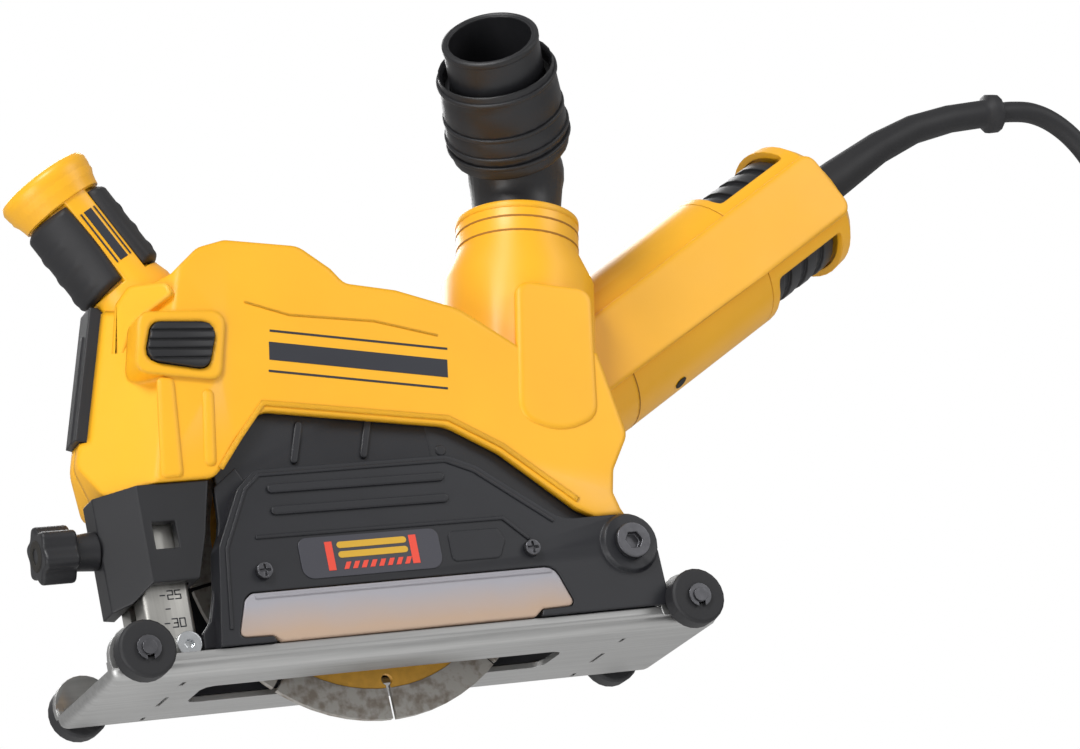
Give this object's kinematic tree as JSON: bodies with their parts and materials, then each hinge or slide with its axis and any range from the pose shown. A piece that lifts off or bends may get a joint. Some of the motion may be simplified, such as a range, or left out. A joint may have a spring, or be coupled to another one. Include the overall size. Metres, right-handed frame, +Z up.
{
  "type": "wall chaser",
  "caption": "Hand-held wall chaser: a grinder motor drives a disc in a dust shroud that plunges on a hinged, rollered sole.",
  "frame": {"origin": "centre of the disc on the spindle's axis, in the pose held for a cut", "axes": "+X back to the motor's tail, +Y to the tool's right (the gear case side), +Z up, square to the sole"},
  "size_m": [0.5459, 0.1093, 0.3623],
  "materials": {
    "yellow": "satin",
    "black": "satin",
    "rubber": "matte",
    "steel": "brushed",
    "dark_steel": "satin",
    "zinc": "satin",
    "aluminium": "satin",
    "diamond": "rough",
    "clear": "gloss"
  },
  "bodies": {
    "tool": {"shroud_left": "yellow", "shroud_right": "yellow", "front_spine": "black", "handle_core": "yellow", "handle_grip_front": "rubber", "handle_grip_rear": "rubber", "handle_bolt": "zinc", "gear_case": "aluminium", "bearing_cover": "aluminium", "motor_housing": "yellow", "tail_cap": "yellow", "air_inlet_ring": "black", "field_stator": "dark_steel", "carbon_brush_1": "black", "carbon_brush_2": "black", "cord_boot": "rubber", "spindle_bearing": "steel", "armature_bearing_front": "steel", "armature_bearing_rear": "steel", "cord_tube": "rubber", "cord_coil": "rubber", "cord_end": "rubber", "coil_tie": "black", "plug": "black"},
    "lock_button": {"lock_button": "black"},
    "power_switch": {"power_switch": "black"},
    "spindle_lock": {"spindle_lock_button": "black"},
    "spindle": {"spindle": "steel", "ring_gear": "dark_steel", "inner_flange": "zinc", "outer_flange": "zinc", "diamond_disc": "diamond"},
    "armature": {"armature": "steel", "cooling_fan": "black", "pinion": "dark_steel"},
    "shoe": {"sole_plate": "steel", "guard_left": "black", "guard_right": "black", "inspection_window": "clear", "guard_screw_front": "dark_steel", "guard_screw_rear": "dark_steel", "pivot_bolt": "dark_steel", "pivot_nut": "dark_steel", "scale_arm": "steel", "arm_screw": "zinc", "front_axle": "zinc", "rear_axle": "zinc", "axle_clip_front_left": "dark_steel", "axle_clip_front_right": "dark_steel", "axle_clip_rear_left": "dark_steel", "axle_clip_rear_right": "dark_steel"},
    "roller_front_left": {"roller_front_left": "rubber"},
    "roller_front_right": {"roller_front_right": "rubber"},
    "roller_rear_left": {"roller_rear_left": "rubber"},
    "roller_rear_right": {"roller_rear_right": "rubber"},
    "depth_collar": {"depth_collar": "black"},
    "clamp_knob": {"clamp_knob": "black"},
    "dust_elbow": {"dust_elbow": "black"},
    "twist_collar": {"twist_collar": "black"}
  },
  "joints": [
    {"name": "shoe_plunge", "type": "hinge", "parent": "tool", "child": "shoe", "pos_m": [0.083, 0, -0.019], "axis": [0, -1, 0], "range_deg": [0, 12]},
    {"name": "spindle_spin", "type": "hinge", "parent": "tool", "child": "spindle", "pos_m": [0, 0.027, 0], "axis": [0, 1, 0], "continuous": true},
    {"name": "armature_spin", "type": "hinge", "parent": "tool", "child": "armature", "pos_m": [0, 0.027, 0], "axis": [0.8704, 0, 0.4924], "continuous": true},
    {"name": "lock_press", "type": "slide", "parent": "tool", "child": "lock_button", "axis": [0, 1, 0], "range_m": [0, 0.003], "stiffness_N_per_m": 300, "springref_m": -0.002},
    {"name": "spindle_lock_press", "type": "slide", "parent": "tool", "child": "spindle_lock", "axis": [0, -1, 0], "range_m": [0, 0.004], "stiffness_N_per_m": 300, "springref_m": -0.002},
    {"name": "switch_slide", "type": "slide", "parent": "tool", "child": "power_switch", "axis": [0.8704, 0, 0.4924], "range_m": [0, 0.008]},
    {"name": "depth_slide", "type": "slide", "parent": "shoe", "child": "depth_collar", "axis": [0, 0, -1], "range_m": [0, 0.015]},
    {"name": "knob_turn", "type": "hinge", "parent": "depth_collar", "child": "clamp_knob", "pos_m": [-0.098, -0.012, -0.0005], "axis": [-1, 0, 0], "range_deg": [0, 360]},
    {"name": "elbow_swivel", "type": "hinge", "parent": "tool", "child": "dust_elbow", "pos_m": [0.08095, 0, 0.09839], "axis": [0.1994, 0, 0.9799], "continuous": true},
    {"name": "collar_twist", "type": "hinge", "parent": "dust_elbow", "child": "twist_collar", "pos_m": [0.08693, 0, 0.12779], "axis": [-0.345, -0.71, 0.614], "range_deg": [0, 30]},
    {"name": "roller_front_left_spin", "type": "hinge", "parent": "shoe", "child": "roller_front_left", "pos_m": [-0.0959, -0.0352, -0.0412], "axis": [0, 1, 0], "continuous": true},
    {"name": "roller_front_right_spin", "type": "hinge", "parent": "shoe", "child": "roller_front_right", "pos_m": [-0.0959, 0.0352, -0.0412], "axis": [0, 1, 0], "continuous": true},
    {"name": "roller_rear_left_spin", "type": "hinge", "parent": "shoe", "child": "roller_rear_left", "pos_m": [0.101, -0.0352, -0.0412], "axis": [0, 1, 0], "continuous": true},
    {"name": "roller_rear_right_spin", "type": "hinge", "parent": "shoe", "child": "roller_rear_right", "pos_m": [0.101, 0.0352, -0.0412], "axis": [0, 1, 0], "continuous": true}
  ],
  "couplings": [
    {"joint": "armature_spin", "follows": "spindle_spin", "ratio": -3.1667}
  ]
}
